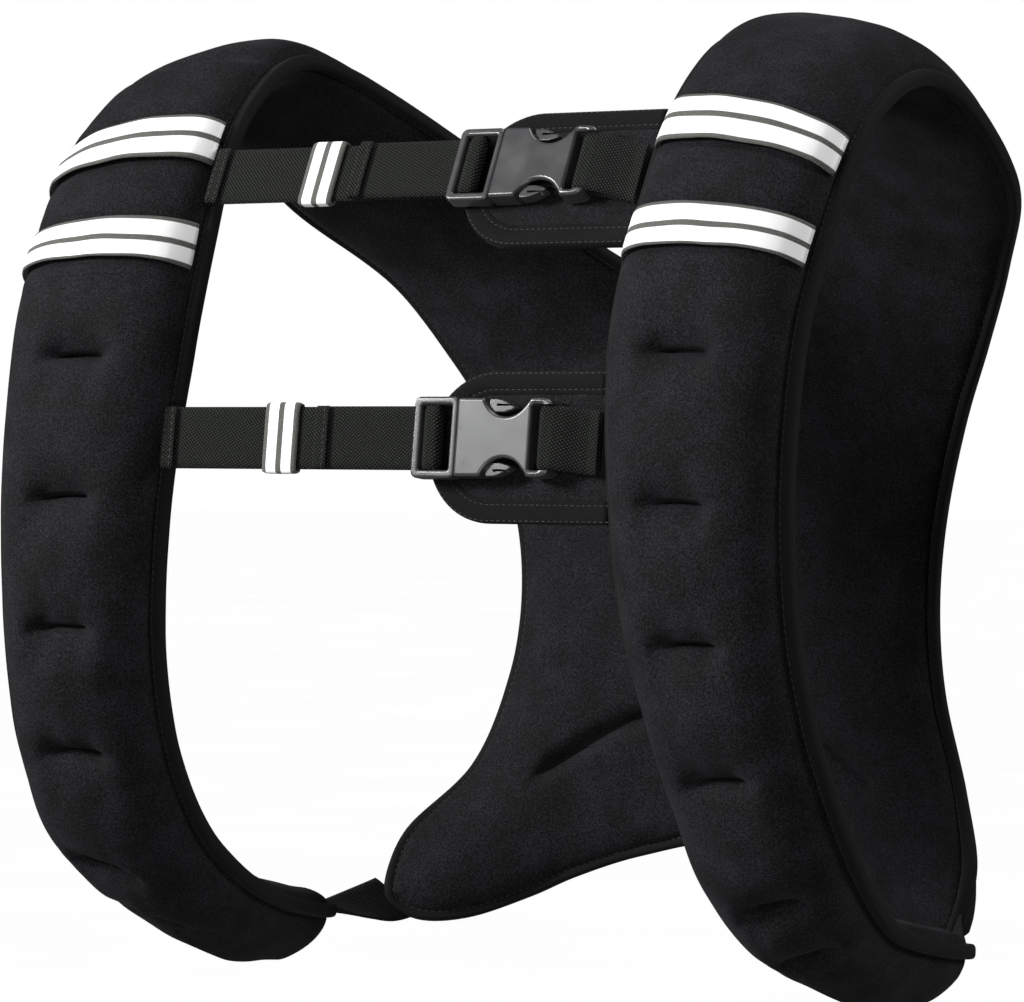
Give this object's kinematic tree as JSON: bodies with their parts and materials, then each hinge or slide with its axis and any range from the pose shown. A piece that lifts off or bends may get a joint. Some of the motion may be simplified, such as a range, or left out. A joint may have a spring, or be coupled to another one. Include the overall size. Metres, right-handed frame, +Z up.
{
  "type": "weighted vest",
  "caption": "Padded weighted vest in its worn shape, with an X-shaped back, filled front straps that curve back under the arms, taped edges, reflective bands and buckled chest straps.",
  "frame": {"origin": "where the vest rests on the shoulders: mid-width, under the shoulder padding at the shoulder line", "axes": "+X towards the wearer's left, +Y towards the wearer's back, +Z up; the chest straps are at the front"},
  "size_m": [0.3898, 0.3069, 0.3942],
  "materials": {
    "padding": "matte fine-grained stretch cloth over a loose filling",
    "edge_tape": "woven binding, matte",
    "reflective_band": "smooth reflective ribbon with grey edges",
    "webbing": "flat woven webbing, matte",
    "elastic": "ribbed woven elastic",
    "buckle_plastic": "satin grey moulding"
  },
  "bodies": {
    "root": {"back_panel": "padding", "left_strap": "padding", "right_strap": "padding", "upper_pad": "padding", "lower_pad": "padding", "edge_tape": "edge_tape", "upper_pad_tape": "edge_tape", "lower_pad_tape": "edge_tape", "left_upper_band": "reflective_band", "right_upper_band": "reflective_band", "left_lower_band": "reflective_band", "right_lower_band": "reflective_band", "upper_long_web": "webbing", "lower_long_web": "webbing", "upper_short_web": "webbing", "lower_short_web": "webbing", "left_side_web": "webbing", "right_side_web": "webbing", "upper_keeper": "elastic", "lower_keeper": "elastic", "upper_buckle_frame": "buckle_plastic", "lower_buckle_frame": "buckle_plastic", "upper_buckle_socket": "buckle_plastic", "lower_buckle_socket": "buckle_plastic"}
  },
  "joints": []
}
